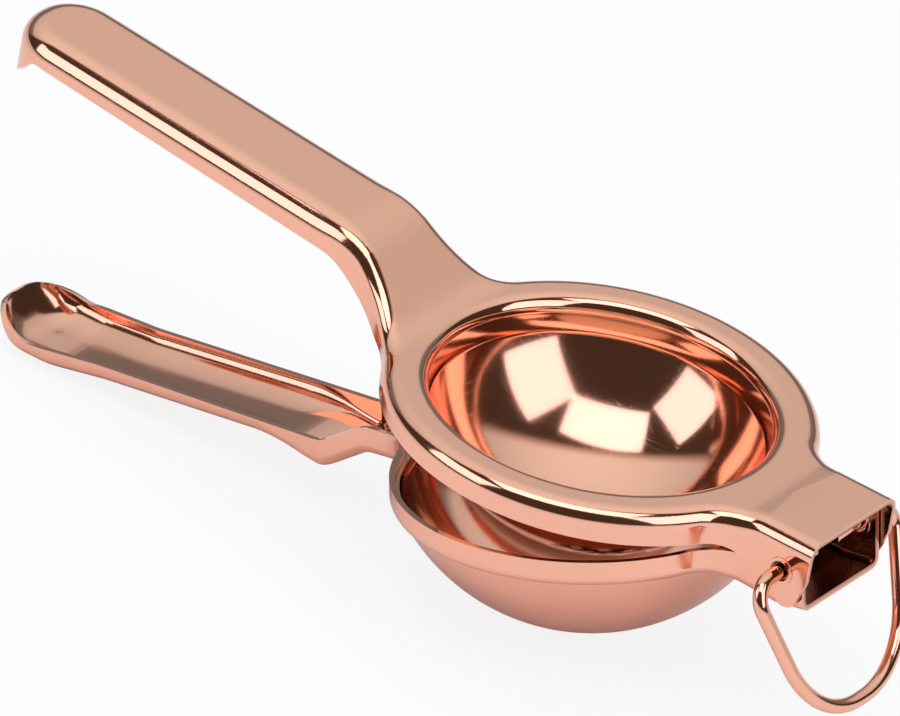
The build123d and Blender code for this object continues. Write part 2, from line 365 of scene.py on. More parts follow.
class Track:
    """A path of tangent lines and arcs, marked at close intervals."""

    step = 0.1

    def __init__(self) -> None:
        """Start with no marks."""
        self.marks: list[Mark] = []

    def _put(self, x: float, y: float, heading: float) -> None:
        """Add one mark unless it repeats the last."""
        run = 0.0
        if self.marks:
            last = self.marks[-1]
            gap = math.hypot(x - last.x, y - last.y)
            if gap < TINY:
                return
            run = last.run + gap
            while heading - last.heading > math.pi:
                heading -= 2 * math.pi
            while last.heading - heading > math.pi:
                heading += 2 * math.pi
        self.marks.append(Mark(x, y, heading, run))

    def line(self, start: Point, end: Point) -> None:
        """Run straight from start to end."""
        length = math.dist(start, end)
        heading = math.atan2(end[1] - start[1], end[0] - start[0])
        count = max(1, math.ceil(length / self.step))
        for index in range(count + 1):
            part = index / count
            self._put(start[0] + part * (end[0] - start[0]),
                      start[1] + part * (end[1] - start[1]), heading)

    def arc(self, centre: Point, radius: float, first: float, last: float) -> None:
        """Run round an arc.

        Args:
            centre: its centre.
            radius: its radius.
            first: start angle in radians.
            last: end angle in radians; smaller than first for a clockwise run.
        """
        count = max(4, math.ceil(abs(last - first) * radius / self.step))
        quarter = math.copysign(math.pi / 2, last - first)
        for index in range(count + 1):
            angle = first + (last - first) * index / count
            self._put(centre[0] + radius * math.cos(angle),
                      centre[1] + radius * math.sin(angle), angle + quarter)

    def rounded(self, points: Sequence[Point], radii: Sequence[float]) -> None:
        """Run along a polyline whose inner corners are rounded.

        Args:
            points: the corners.
            radii: one radius for each inner corner.
        """
        here = points[0]
        for before, corner, after, radius in zip(points, points[1:], points[2:], radii):
            a = math.atan2(corner[1] - before[1], corner[0] - before[0])
            b = math.atan2(after[1] - corner[1], after[0] - corner[0])
            turn = (b - a + math.pi) % (2 * math.pi) - math.pi
            reach = radius * math.tan(abs(turn) / 2)
            begin = (corner[0] - reach * math.cos(a), corner[1] - reach * math.sin(a))
            side = math.copysign(1.0, turn)
            centre = (begin[0] - side * radius * math.sin(a), begin[1] + side * radius * math.cos(a))
            self.line(here, begin)
            start = a - side * math.pi / 2
            self.arc(centre, radius, start, start + turn)
            here = (self.marks[-1].x, self.marks[-1].y)
        self.line(here, points[-1])


class Profile:
    """A side line: a height for every x, with its slope."""

    def __init__(self, points: Sequence[Point], radii: Sequence[float]) -> None:
        """Round the corners of a polyline that runs towards +x.

        Args:
            points: corners, x and height.
            radii: one radius for each inner corner.
        """
        track = Track()
        track.rounded(points, radii)
        self.marks = track.marks
        self.places = [mark.x for mark in track.marks]

    def _near(self, x: float) -> tuple[Mark, Mark, float]:
        """Return the two marks round x and the share between them."""
        index = min(max(bisect.bisect_right(self.places, x), 1), len(self.places) - 1)
        low, high = self.marks[index - 1], self.marks[index]
        return low, high, (x - low.x) / max(high.x - low.x, LEAST)

    def height(self, x: float) -> float:
        """Return the height at x."""
        low, high, part = self._near(x)
        return low.y + part * (high.y - low.y)

    def stretch(self, x: float) -> float:
        """Return 1 / cos(slope) at x."""
        low, high, part = self._near(x)
        return 1.0 / math.cos(low.heading + part * (high.heading - low.heading))

    def breaks(self, turn: float) -> list[float]:
        """Return the x of marks spaced by a turn of the line.

        Args:
            turn: change of heading between two places, in radians.
        """
        found = []
        last = self.marks[0].heading
        for mark in self.marks:
            if abs(mark.heading - last) >= turn:
                found.append(mark.x)
                last = mark.heading
        return found


# ---------------------------------------------------------------- mesh helpers


def linked(name: str, data: bpy.types.ID) -> Piece:
    """Return a new object of the scene.

    Args:
        name: its name.
        data: its mesh, light or camera.
    """
    made = bpy.data.objects.new(name, data)
    bpy.context.scene.collection.objects.link(made)
    return made


def new_piece(name: str, mesh: bmesh.types.BMesh, place: Matrix) -> Piece:
    """Turn a bmesh in millimetres into an object in the row frame.

    Args:
        name: the piece's name.
        mesh: the shape, which is freed.
        place: millimetres of the piece's own frame to metres of the row frame.

    Returns:
        The linked object, at the origin and unturned.
    """
    mesh.transform(place)
    for face in mesh.faces:
        face.smooth = True
    data = bpy.data.meshes.new(name)
    mesh.to_mesh(data)
    mesh.free()
    return linked(name, data)


def settle(piece: Piece) -> None:
    """Put the result of a piece's modifiers into its mesh."""
    graph = bpy.context.evaluated_depsgraph_get()
    data = bpy.data.meshes.new_from_object(piece.evaluated_get(graph), depsgraph=graph)
    piece.modifiers.clear()
    piece.data = data


def drill(piece: Piece, cutter: Piece) -> None:
    """Cut one object out of a piece and delete the cutter."""
    cut = piece.modifiers.new("bore", "BOOLEAN")
    cut.operation = "DIFFERENCE"
    cut.solver = "EXACT"
    cut.object = cutter
    settle(piece)
    bpy.data.objects.remove(cutter)


def ease_edges(piece: Piece, width: float, segments: int = 2) -> None:
    """Round the raw edges of a piece and keep its broad faces true.

    Args:
        piece: the piece.
        width: width of the rounded edge in millimetres.
        segments: faces across the rounded edge.
    """
    bevel = piece.modifiers.new("raw_edges", "BEVEL")
    bevel.width = width * MM
    bevel.segments = segments
    bevel.limit_method = "ANGLE"
    bevel.angle_limit = RAW_ANGLE
    bevel.use_clamp_overlap = True
    settle(piece)
    piece.data.set_sharp_from_angle(angle=CREASE_ANGLE)
    weighted = piece.modifiers.new("true_faces", "WEIGHTED_NORMAL")
    weighted.keep_sharp = True
    weighted.weight = FACE_WEIGHT


def rods(name: str, places: Sequence[Matrix], radius: float, length: float,
         place: Matrix) -> Piece:
    """Return a cutter of round rods.

    Args:
        name: the cutter's name.
        places: where each rod's middle is, in millimetres.
        radius: their radius.
        length: their length.
        place: millimetres to metres of the row frame.
    """
    mesh = bmesh.new()
    for where in places:
        bmesh.ops.create_cone(mesh, cap_ends=True, segments=PUNCH_SIDES, radius1=radius,
                              radius2=radius, depth=length, matrix=where)
    return new_piece(name, mesh, place)


def spun(name: str, section: Sequence[Point], axis: str, steps: int, place: Matrix) -> Piece:
    """Return a turned piece.

    Args:
        name: the piece's name.
        section: closed outline, radius and height along the axis, in millimetres.
        axis: "Z" or "Y".
        steps: faces round the axis.
        place: millimetres to metres of the row frame.
    """
    mesh = bmesh.new()
    spots = [Vector((r, 0, h)) if axis == "Z" else Vector((r, h, 0)) for r, h in section]
    corners = [mesh.verts.new(spot) for spot in spots]
    pairs = zip(corners, corners[1:] + corners[:1])
    edges = [mesh.edges.new(pair) for pair in pairs
             if max(abs(pair[0].co.x), abs(pair[1].co.x)) > TINY]
    turn = Vector((0, 0, 1)) if axis == "Z" else Vector((0, 1, 0))
    bmesh.ops.spin(mesh, geom=corners + edges, cent=(0, 0, 0), axis=turn,
                   angle=2 * math.pi, steps=steps, use_merge=True)
    bmesh.ops.remove_doubles(mesh, verts=mesh.verts, dist=SLIVER)
    bmesh.ops.dissolve_degenerate(mesh, edges=mesh.edges, dist=SLIVER / 10)
    bmesh.ops.recalc_face_normals(mesh, faces=mesh.faces)
    return new_piece(name, mesh, place)


def fade(value: float, start: float, end: float) -> float:
    """Return 0 at start and 1 at end, held outside them."""
    return min(max((value - start) / (end - start), 0.0), 1.0)


def thinned(marks: Sequence[Mark], reach: float, turn: float,
            breaks: Sequence[float] = ()) -> list[Mark]:
    """Keep only the marks that a mesh needs.

    Args:
        marks: closely spaced marks.
        reach: longest step between kept marks.
        turn: largest change of heading between kept marks, in radians.
        breaks: x places that each get a mark.

    Returns:
        The kept marks, with the first and the last.
    """
    kept = [marks[0]]
    for before, mark, after in zip(marks, marks[1:], marks[2:]):
        last = kept[-1]
        far = mark.run - last.run >= reach
        turned = abs(mark.heading - last.heading) >= turn
        bends = abs(after.heading - mark.heading) > LEAST > abs(mark.heading - before.heading)
        low = bisect.bisect_right(breaks, min(before.x, mark.x))
        crossed = low < len(breaks) and breaks[low] <= max(before.x, mark.x)
        if far or turned or bends or crossed:
            kept.append(mark)
    kept.append(marks[-1])
    return kept


# ---------------------------------------------------------------- pressed arms


@dataclass
class Plan:
    """Half of an arm's plan outline, from the handle's tip to the hinge mouth."""

    handle: Sequence[Point]
    handle_radii: Sequence[float]
    ring: float
    neck_fillet: float
    hinge_fillet: float
    hinge_half: float
    front: float

    def marks(self) -> list[Mark]:
        """Return close marks along the outline."""
        half = self.handle[-1][1]
        neck_y = half + self.neck_fillet
        neck_x = -math.sqrt((self.ring + self.neck_fillet) ** 2 - neck_y ** 2)
        hinge_y = self.hinge_half + self.hinge_fillet
        hinge_x = math.sqrt((self.ring + self.hinge_fillet) ** 2 - hinge_y ** 2)
        track = Track()
        track.rounded([*self.handle[:-1], (neck_x, half)], self.handle_radii)
        track.arc((neck_x, neck_y), self.neck_fillet, -math.pi / 2, math.atan2(-neck_y, -neck_x))
        track.arc((0, 0), self.ring, math.atan2(neck_y, neck_x), math.atan2(hinge_y, hinge_x))
        track.arc((hinge_x, hinge_y), self.hinge_fillet,
                  math.atan2(-hinge_y, -hinge_x), -math.pi / 2)
        track.line((hinge_x, self.hinge_half), (self.front, self.hinge_half))
        return track.marks


@dataclass
class PressedArm:
    """A sheet arm: a plate that follows a side line, with walls round its plan.

    Args:
        plan: half of the plan outline.
        face: height of the plate's outside.
        rim: height of the walls' free edge.
        side: 1 when the plate is on top and the walls hang, -1 when they stand.
        corner: outside radius between plate and wall.
        opening: radius of the bowl opening.
        apex: x where the rows of the handle's rounded end meet.
        left: x where the handle's rows begin to lean towards the opening.
        right: x where the ears' rows stand square again.
        roll: radius of the rolled edge of the opening, or 0.
        collar: straight length under the roll.
        deep: drop of the corner along the handle, or 0 for the same as at the ring.
        wide: reach of the corner along the handle.
        deep_to: x up to which the deep corner runs.
        deep_blend: length over which it fades.
        across, wall_rows, roll_rows: faces across the plate, down a wall, round the roll.
        corner_close: spacing at which the corner's arc is drawn.
        corner_step, corner_turn: longest face round the corner and its turn in degrees.
        longest, sharpest: longest step along the outline and its turn in degrees.
        face_turn, rim_turn: turn of each side line between two rows, in degrees.
        lean: how far a row leans on its way to the opening.
        lean_none: angle on the ring past which rows run straight in, in degrees.
        lean_fade: range of angle over which the lean grows.
    """

    plan: Plan
    face: Profile
    rim: Profile
    side: int
    corner: float
    opening: float
    apex: float
    left: float
    right: float
    roll: float = 0.0
    collar: float = 0.0
    deep: float = 0.0
    wide: float = 0.0
    deep_to: float = 0.0
    deep_blend: float = 14.0
    across: int = 8
    wall_rows: int = 5
    roll_rows: int = 8
    corner_close: float = 0.02
    corner_step: float = 0.7
    corner_turn: float = 7.4
    longest: float = 1.6
    sharpest: float = 2.2
    face_turn: float = 4.0
    rim_turn: float = 6.0
    lean: float = 0.5
    lean_none: float = 70.0
    lean_fade: float = 45.0

    def __post_init__(self) -> None:
        """Work out the corner's section once."""
        self.section_line = self.section()

    def stations(self) -> list[Mark]:
        """Return the outline's marks that carry a row of the mesh."""
        breaks = sorted(self.face.breaks(math.radians(self.face_turn))
                        + self.rim.breaks(math.radians(self.rim_turn)))
        return thinned(self.plan.marks(), self.longest, math.radians(self.sharpest), breaks)

    def growth(self, x: float) -> Point:
        """Return the corner's reach and drop at x, as shares of those at the ring."""
        if not self.deep:
            return 1.0, 1.0
        part = fade(x, self.deep_to, self.deep_to + self.deep_blend)
        part *= part * (3 - 2 * part)
        return tuple(part + (1 - part) * size / self.corner for size in (self.wide, self.deep))

    def section(self) -> list[Point]:
        """Return the corner between plate and wall, as inset and drop."""
        track = Track()
        track.step = self.corner_close
        track.arc((self.corner, self.corner), self.corner, -math.pi / 2, -math.pi)
        kept = thinned(track.marks, self.corner_step, math.radians(self.corner_turn))
        return [(mark.x, mark.y) for mark in kept]

    def _inset(self, mark: Mark) -> float:
        """Return how far the corner reaches in at a station, up to the opening."""
        nx, ny = mark.normal
        low, high = 0.0, self.corner * self.growth(mark.x)[0]
        if math.hypot(mark.x - nx * high, mark.y - ny * high) >= self.opening:
            return high
        for _ in range(HALVINGS):
            middle = (low + high) / 2
            if math.hypot(mark.x - nx * middle, mark.y - ny * middle) > self.opening:
                low = middle
            else:
                high = middle
        return low

    def _circled(self, x: float, y: float) -> float:
        """Return the angle on the opening that a shoulder's row runs to.

        Args:
            x: the shoulder's place.
            y: its distance from the middle line.

        Returns:
            The angle from the nearer half of the middle line, negative when the
            row ends on the line itself.
        """
        angle = math.atan2(y, abs(x))
        lean = self.lean * math.acos(min(1.0, self.opening / math.hypot(x, y)))
        none = math.radians(self.lean_none)
        return angle - lean * fade(angle, none, none - math.radians(self.lean_fade))

    def partners(self, marks: Sequence[Mark], insets: Sequence[float]) -> list[Point]:
        """Return the inner end of each station's row.

        Args:
            marks: the stations.
            insets: reach of the corner at each.
        """
        shoulders = [(m.x - m.normal[0] * e, m.y - m.normal[1] * e)
                     for m, e in zip(marks, insets)]
        found = [(max(x, self.apex), 0.0) for x, _ in shoulders]
        round_it = [i for i, (x, y) in enumerate(shoulders)
                    if x > self.left and self._circled(x, y) > 0]
        for index in round_it:
            x, y = shoulders[index]
            angle = self._circled(x, y)
            found[index] = (math.copysign(self.opening * math.cos(angle), x),
                            self.opening * math.sin(angle))
        first = next(i for i, m in enumerate(marks) if m.x >= self.left)
        last = next(i for i, m in enumerate(marks) if m.x >= self.right)
        for begin, end, side in ((first, round_it[0] - 1, -1.0), (last, round_it[-1] + 1, 1.0)):
            start, span = found[begin][0], marks[end].run - marks[begin].run
            for index in range(min(begin, end), max(begin, end) + 1):
                part = (marks[index].run - marks[begin].run) / span
                found[index] = (start + part * (side * self.opening - start), 0.0)
        return found

    def row(self, mark: Mark, inset: float, inner: Point) -> list[Vector]:
        """Return one row of the sheet's outside, from the opening to the wall's edge.

        Args:
            mark: the station.
            inset: reach of the corner.
            inner: inner end of the plate.
        """
        across, down = self.growth(mark.x)
        line = [(reach * across, drop * down) for reach, drop in self.section_line]
        corner = [self._bent(mark, *point) for point in self._cut(line, inset)]
        shoulder = corner[0]
        lower = self.face.height(shoulder.x) - shoulder.z
        row = []
        if self.roll:
            reached = inner[1] > TINY or abs(abs(inner[0]) - self.opening) < TINY
            row += self._roll(inner, reached)
        for index in range(self.across):
            part = index / self.across
            x = inner[0] + part * (shoulder.x - inner[0])
            y = inner[1] + part * (shoulder.y - inner[1])
            row.append(Vector((x, y, self.face.height(x) - lower)))
        foot = self.rim.height(mark.x)
        row += self._trimmed(corner, foot)
        top = row[-1].z
        if (top - foot) * self.side < 0:
            foot = top
        for index in range(1, self.wall_rows + 1):
            part = 1 - (1 - index / self.wall_rows) ** 2
            row.append(Vector((row[-1].x, row[-1].y, top + part * (foot - top))))
        return row

    @staticmethod
    def _cut(line: Sequence[Point], inset: float) -> list[Point]:
        """Return the corner's section without the part beyond an inset.

        Args:
            line: inset and drop of the section's points, from the plate to the wall.
            inset: the largest inset that is kept.
        """
        kept = []
        for before, point in zip([line[0], *line], line):
            if point[0] > inset:
                kept.append(None)
                continue
            if kept and kept[-1] is None:
                part = (before[0] - inset) / max(before[0] - point[0], LEAST)
                end = (inset, before[1] + part * (point[1] - before[1]))
                kept = [end] * len(kept)
            kept.append(point)
        return kept

    def _bent(self, mark: Mark, inset: float, drop: float) -> Vector:
        """Return a point of the corner between plate and wall.

        Args:
            mark: the station.
            inset: distance in from the wall.
            drop: distance from the plate.
        """
        nx, ny = mark.normal
        x = mark.x - nx * inset
        height = self.face.height(x) - self.side * drop * self.face.stretch(x)
        return Vector((x, mark.y - ny * inset, height))

    def _trimmed(self, corner: Sequence[Vector], foot: float) -> list[Vector]:
        """Return the corner's points, held at the trim line once they pass it.

        Args:
            corner: points from the plate to the wall.
            foot: height of the trim line.
        """
        kept = [corner[0]]
        for before, point in zip(corner, corner[1:]):
            over = (point.z - foot) * self.side < 0
            if over and (before.z - foot) * self.side >= 0:
                point = before.lerp(point, (before.z - foot) / (before.z - point.z))
            elif over:
                point = kept[-1]
            kept.append(point)
        return kept

    def _roll(self, inner: Point, on_circle: bool) -> list[Vector]:
        """Return the rolled edge's part of a row, from the collar's end upwards.

        Args:
            inner: inner end of the plate.
            on_circle: whether the row meets the opening.
        """
        height = self.face.height(inner[0])
        if not on_circle:
            return [Vector((*inner, height))] * (self.roll_rows + 1)
        out = Vector(inner).normalized()
        low = self.opening - self.roll
        points = [Vector((*(out * low), height - self.roll - self.collar))]
        for index in range(self.roll_rows):
            bend = math.pi / 2 * index / self.roll_rows
            reach = self.opening - self.roll * math.cos(bend)
            points.append(Vector((*(out * reach),
                                  height - self.roll + self.roll * math.sin(bend))))
        return points

    def sheet(self) -> bmesh.types.BMesh:
        """Return the outside of the whole arm as an open sheet."""
        marks = self.stations()
        insets = [self._inset(mark) for mark in marks]
        inners = self.partners(marks, insets)
        rows = [self.row(*each) for each in zip(marks, insets, inners)]
        mesh = bmesh.new()
        wide, deep = len(rows), len(rows[0])
        bmesh.ops.create_grid(mesh, x_segments=wide - 1, y_segments=deep - 1, size=0.5)
        for vert in mesh.verts:
            column = round((vert.co.x + 0.5) * (wide - 1))
            line = round((vert.co.y + 0.5) * (deep - 1))
            vert.co = rows[column][line]
            vert.co.y = max(vert.co.y, 0.0)
        flat = [f for f in mesh.faces if all(v.co.y < TINY for v in f.verts)]
        bmesh.ops.delete(mesh, geom=flat, context="FACES")
        bmesh.ops.remove_doubles(mesh, verts=mesh.verts, dist=ROW_WELD)
        bmesh.ops.mirror(mesh, geom=mesh.verts[:] + mesh.edges[:] + mesh.faces[:],
                         matrix=Matrix.Identity(4), merge_dist=MIRROR_WELD, axis="Y")
        bmesh.ops.remove_doubles(mesh, verts=mesh.verts, dist=MIRROR_WELD)
        bmesh.ops.dissolve_degenerate(mesh, edges=mesh.edges, dist=SLIVER)
        bmesh.ops.recalc_face_normals(mesh, faces=mesh.faces)
        lean = sum(f.normal.z * f.calc_area() for f in mesh.faces)
        if lean * self.side < 0:
            bmesh.ops.reverse_faces(mesh, faces=mesh.faces)
        return mesh


@dataclass(frozen=True)
class Hinge:
    """The hinge axis and the frames of the two arms, in millimetres.

    Args:
        x: distance of the axis from the ring's centre.
        height: its height in the strainer arm's frame.
        place: its place in the row frame, in metres.
        tilt: turn of the standing strainer arm, in radians.
        opening: further turn of the press arm, in radians.
    """

    x: float
    height: float
    place: Vector
    tilt: float
    opening: float

    def frame(self, turn: float = 0.0) -> Matrix:
        """Return the matrix from an arm's millimetres to the row frame.

        Args:
            turn: turn about the axis, beyond the strainer arm's.
        """
        spin = Matrix.Rotation(self.tilt + turn, 4, "Y")
        back = Matrix.Translation((-self.x, 0, -self.height))
        return Matrix.Translation(self.place) @ spin @ Matrix.Scale(MM, 4) @ back

    @property
    def strainer(self) -> Matrix:
        """Frame of the strainer arm."""
        return self.frame()

    @property
    def press(self) -> Matrix:
        """Frame of the press arm, drawn closed."""
        return self.frame(self.opening)

    @property
    def axis(self) -> Matrix:
        """Place of the axis in an arm's frame."""
        return Matrix.Translation((self.x, 0, self.height))

    def bore(self, radius: float, length: float, place: Matrix) -> Piece:
        """Return a cutter along the axis."""
        where = self.axis @ Matrix.Rotation(math.pi / 2, 4, "X")
        return rods("hinge_bore", [where], radius, length, place)


@dataclass
class Squeezer:
    """Sizes that the pieces share, in millimetres."""

    hinge: Hinge
    finishes: dict[Slot, bpy.types.Material]
    arm_sheet: float = 1.2
    bowl_sheet: float = 0.8
    wire: float = 3.0
    running: float = 0.05
    seat: float = 0.02
    ear_gap: float = 0.35
    hinge_width: float = 30.0
    eyelet_wall: float = 1.0
    arm_edge: float = 0.16
    press_bowl_edge: float = 0.18
    strainer_bowl_edge: float = 0.14
    eyelet_edge: float = 0.1
    wire_edge: float = 0.3

    @property
    def eyelet_radius(self) -> float:
        """Outer radius of an eyelet, round the bore that the wire turns in."""
        return self.wire / 2 + self.running + self.eyelet_wall

    @property
    def strainer_ear(self) -> float:
        """Half-width over the strainer arm's ears."""
        return self.hinge_width / 2 - self.arm_sheet - self.ear_gap

    def dress(self, piece: Piece, slot: Slot, body: str, node: str) -> None:
        """Give a piece its finish and let it stand for its node.

        Args:
            piece: the piece.
            slot: its material slot.
            body: the body that it rides on.
            node: the node that it stands for.
        """
        piece.data.materials.clear()
        piece.data.materials.append(self.finishes[slot])
        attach(piece, body)
        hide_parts(node)
        LOG.info("%s: %d faces", piece.name, len(piece.data.polygons))


def paint(piece: Piece, name: str, value: Callable[[Vector, Vector, float], float],
          place: Matrix) -> None:
    """Store a value at each vertex, for the materials.

    Args:
        piece: the finished piece.
        name: the attribute's name.
        value: value from a vertex's place in millimetres, its normal and its weight.
        place: the frame that place and normal are given in.
    """
    marks = piece.data.attributes.new(name, "FLOAT", "POINT")
    back = place.inverted()
    turn = back.to_3x3()
    for vert, mark in zip(piece.data.vertices, marks.data):
        inner = min(sum(group.weight for group in vert.groups), 1.0)
        mark.value = value(back @ vert.co / MM, turn @ vert.normal, inner)


def mark_arm(piece: Piece, place: Matrix) -> None:
    """Mark the painted shade in an arm's recesses, and its drawn walls.

    Args:
        piece: the finished sheet, with its inner side in the first vertex group.
        place: the arm's frame.
    """
    def pocket_shade(at: Vector, _: Vector, inner: float) -> float:
        """Return the share of painted shade between the ears and in the trough, where shade falls.
        """
        box = fade(at.x, BOX_FROM, BOX_FROM + POCKET_BLEND)
        trough = TROUGH_SHADE * fade(at.x, TROUGH_TO, TROUGH_TO - POCKET_BLEND)
        return inner * max(box, trough)

    def drawn(_: Vector, normal: Vector, inner: float) -> float:
        """Return how upright the outside is."""
        return (1 - inner) * fade(abs(normal.z), WALL_EDGE, WALL_FULL)

    paint(piece, "pocket_shade", pocket_shade, place)
    paint(piece, "drawn", drawn, place)
    piece.vertex_groups.clear()


def finish_arm(piece: Piece, parts: Squeezer, bore: float, place: Matrix) -> None:
    """Give a pressed sheet its thickness, its hinge bores and its eased edges.

    Args:
        piece: the open sheet of the arm's outside.
        parts: the shared sizes.
        bore: radius of the hinge bores.
        place: the arm's frame.
    """
    wall = piece.modifiers.new("sheet", "SOLIDIFY")
    wall.thickness = parts.arm_sheet * MM
    wall.offset = -1.0
    wall.use_even_offset = True
    wall.use_quality_normals = True
    inside = piece.vertex_groups.new(name="inside")
    wall.shell_vertex_group = inside.name
    settle(piece)
    drill(piece, parts.hinge.bore(bore, 2 * parts.hinge_width, place))
    ease_edges(piece, parts.arm_edge)
    mark_arm(piece, place)


@dataclass
class PressArm:
    """Press arm: flanged grip, gooseneck, ring with a rolled collar, outer ears."""

    parts: Squeezer
    plate: float = PRESS_PLATE
    ring: float = 44.0
    corner: float = 3.5
    opening: float = PRESS_OPENING
    roll: float = PRESS_ROLL
    collar: float = 1.75
    neck_fillet: float = 22.0
    hinge_fillet: float = 12.0
    grip_half: float = 11.6
    grip_tip: float = 145.0
    grip_corner: float = 11.2
    grip_edge: float = 5.0
    grip_edge_to: float = 66.0
    grip_bend: float = 55.8
    grip_rise: float = 14.05
    grip_slope: float = 5.3
    grip_flange: float = 5.6
    grip_lip_run: float = 8.2
    flange_to: float = 60.0
    flange_deep: float = 7.0
    ramp_angle: float = 40.0
    ramp_at: float = 45.0
    ramp_flange: float = 3.0
    ring_from: float = 33.0
    ring_flange: float = 5.6
    ear_from: float = 43.5
    ear_flange: float = 7.3
    ear_corner: Point = (58.8, 18.8)
    joggle: float = 0.5
    joggle_from: float = 44.0
    joggle_to: float = 48.5
    front: float = 61.2
    front_rim: float = 27.5
    face_radii: Sequence[float] = (18.0, 10.0, 6.0, 6.0)
    rim_radii: Sequence[float] = (3.5, 11.0, 6.0, 6.0, 11.0, 3.0)
    apex: float = 15.0
    rows_lean: float = 56.0
    rows_square: float = 50.0
    beyond: float = 20.0

    def grip_top(self, x: float) -> float:
        """Return the height of the grip's top at x."""
        rise = math.tan(math.radians(self.grip_slope)) * (-x - self.grip_bend)
        return self.plate + self.grip_rise + rise

    def face(self) -> Profile:
        """Return the side line of the plate."""
        foot = self.grip_bend - self.grip_rise / math.tan(math.radians(self.ramp_angle))
        tip = -self.grip_tip - self.beyond
        points = [
            (tip, self.grip_top(tip)),
            (-self.grip_bend, self.grip_top(-self.grip_bend)),
            (-foot, self.plate),
            (self.joggle_from, self.plate),
            (self.joggle_to, self.plate + self.joggle),
            (self.front + self.beyond, self.plate + self.joggle),
        ]
        return Profile(points, self.face_radii)

    def rim(self) -> Profile:
        """Return the side line of the walls' edge."""
        lip = -self.grip_tip + self.grip_lip_run
        lip_rim = self.grip_top(lip) - self.grip_flange
        points = [
            (lip - self.beyond, lip_rim - self.beyond),
            (lip, lip_rim),
            (-self.flange_to, self.grip_top(-self.flange_to) - self.flange_deep),
            (-self.ramp_at, self.plate - self.ramp_flange),
            (-self.ring_from, self.plate - self.ring_flange),
            (self.ear_from, self.plate - self.ear_flange),
            self.ear_corner,
            (self.front, self.front_rim),
        ]
        return Profile(points, self.rim_radii)

    def arm(self) -> PressedArm:
        """Return the arm's outline and side lines."""
        handle = [(-self.grip_tip, 0.0), (-self.grip_tip, self.grip_half), (0.0, self.grip_half)]
        plan = Plan(handle, [self.grip_corner], self.ring, self.neck_fillet,
                    self.hinge_fillet, self.parts.hinge_width / 2, self.front)
        return PressedArm(plan, self.face(), self.rim(), 1, self.corner, self.opening,
                          apex=-self.grip_tip + self.apex, left=-self.rows_lean,
                          right=self.rows_square, roll=self.roll, collar=self.collar,
                          deep=self.grip_edge, wide=self.grip_edge,
                          deep_to=-self.grip_edge_to)

    def build(self) -> None:
        """Build and dress the arm."""
        parts = self.parts
        piece = new_piece("press_arm_sheet", self.arm().sheet(), parts.hinge.press)
        finish_arm(piece, parts, parts.eyelet_radius + parts.seat, parts.hinge.press)
        parts.dress(piece, Slot.ARM, "press_arm", "upper_arm")


